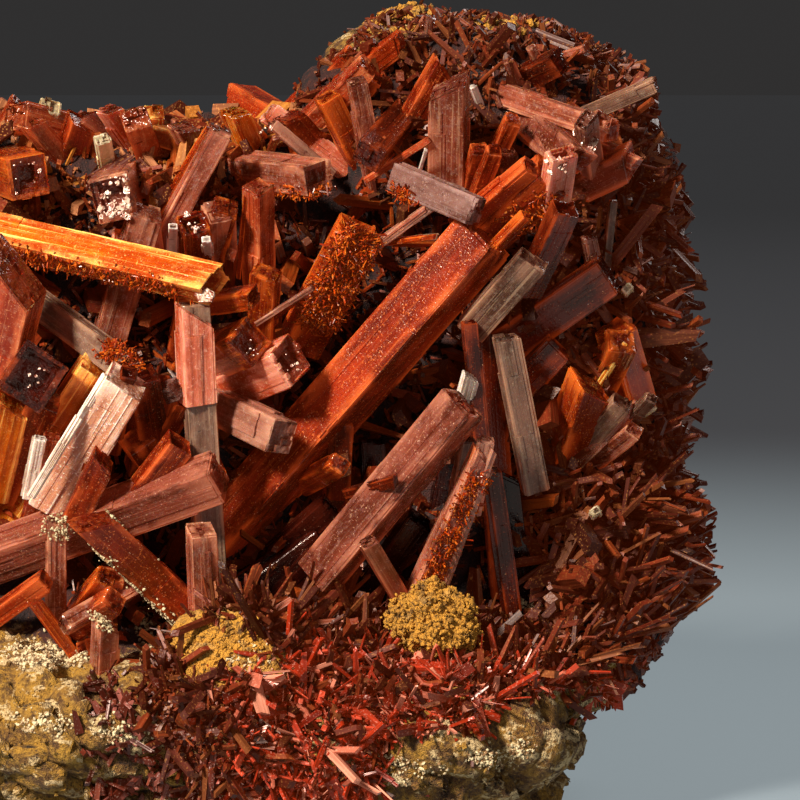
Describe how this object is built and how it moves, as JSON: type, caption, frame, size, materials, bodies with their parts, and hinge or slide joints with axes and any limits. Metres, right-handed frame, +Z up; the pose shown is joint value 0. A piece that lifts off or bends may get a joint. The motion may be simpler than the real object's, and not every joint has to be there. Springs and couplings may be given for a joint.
{
  "type": "crocoite specimen",
  "caption": "Crocoite mineral specimen: long red-orange prisms and druse crusts grown on a rough brown limonite matrix, resting on its flat underside.",
  "frame": {"origin": "centre of the specimen's bounding box, at the height of the flat patch that it rests on", "axes": "+Z up, +X to the right along the specimen's length, -Y towards the face with the large crystals"},
  "size_m": [0.095, 0.0564, 0.0634],
  "materials": {
    "limonite": "earthy, rough, yellow-brown with cream clay",
    "druse": "crusts of small glassy crystals, dark red to orange",
    "amber_crystal": "bright translucent orange, striated",
    "brick_crystal": "vitreous brick red, fine lengthwise striations",
    "mauve_crystal": "vitreous pink-brown, striated, dusty faces",
    "dark_crystal": "deep red-brown, glassy",
    "ember_crystal": "vitreous orange-red",
    "grey_crystal": "weathered grey-brown, striated, duller"
  },
  "bodies": {
    "root": {"matrix": "limonite", "right_flank_druse": "druse", "crown_druse": "druse", "foot_druse": "druse", "saddle_druse": "druse", "left_druse": "druse", "rear_druse": "druse", "amber_bar": "amber_crystal", "great_diagonal": "brick_crystal", "broad_diagonal": "mauve_crystal", "left_column": "brick_crystal", "salmon_prism": "mauve_crystal", "pale_prism": "mauve_crystal", "short_post": "mauve_crystal", "ramp_prism": "brick_crystal", "long_ledge": "brick_crystal", "tall_post": "grey_crystal", "smoky_hopper": "dark_crystal", "dusty_hopper": "ember_crystal", "rear_diagonal": "brick_crystal", "druse_diagonal": "ember_crystal", "olive_lath": "grey_crystal", "grey_leaner": "grey_crystal", "dark_post": "dark_crystal", "striped_slab": "dark_crystal", "orange_block": "ember_crystal", "flank_prism": "ember_crystal", "crusted_spar": "mauve_crystal", "wide_hopper": "dark_crystal", "tawny_prism": "amber_crystal", "grey_lath": "grey_crystal", "pink_column": "mauve_crystal", "crossing_blade": "mauve_crystal", "upright_spear": "mauve_crystal", "brow_prism": "ember_crystal", "glassy_prism": "ember_crystal", "corner_wedge": "ember_crystal", "crown_prism": "brick_crystal", "ridge_prism": "ember_crystal", "ruby_post": "brick_crystal", "level_prism": "mauve_crystal", "leaning_prism": "ember_crystal", "square_hopper": "mauve_crystal", "left_hopper": "ember_crystal", "saddle_prism": "ember_crystal", "skyline_prism": "brick_crystal", "shade_prism": "dark_crystal", "back_post": "dark_crystal", "slate_post": "mauve_crystal", "low_prism": "brick_crystal", "glint_stub": "mauve_crystal", "left_beam": "brick_crystal", "left_spar": "mauve_crystal", "left_wedge": "brick_crystal", "left_cross": "amber_crystal", "left_tower": "ember_crystal", "left_outer": "brick_crystal", "rear_beam": "brick_crystal", "rear_tower": "mauve_crystal"}
  },
  "joints": []
}
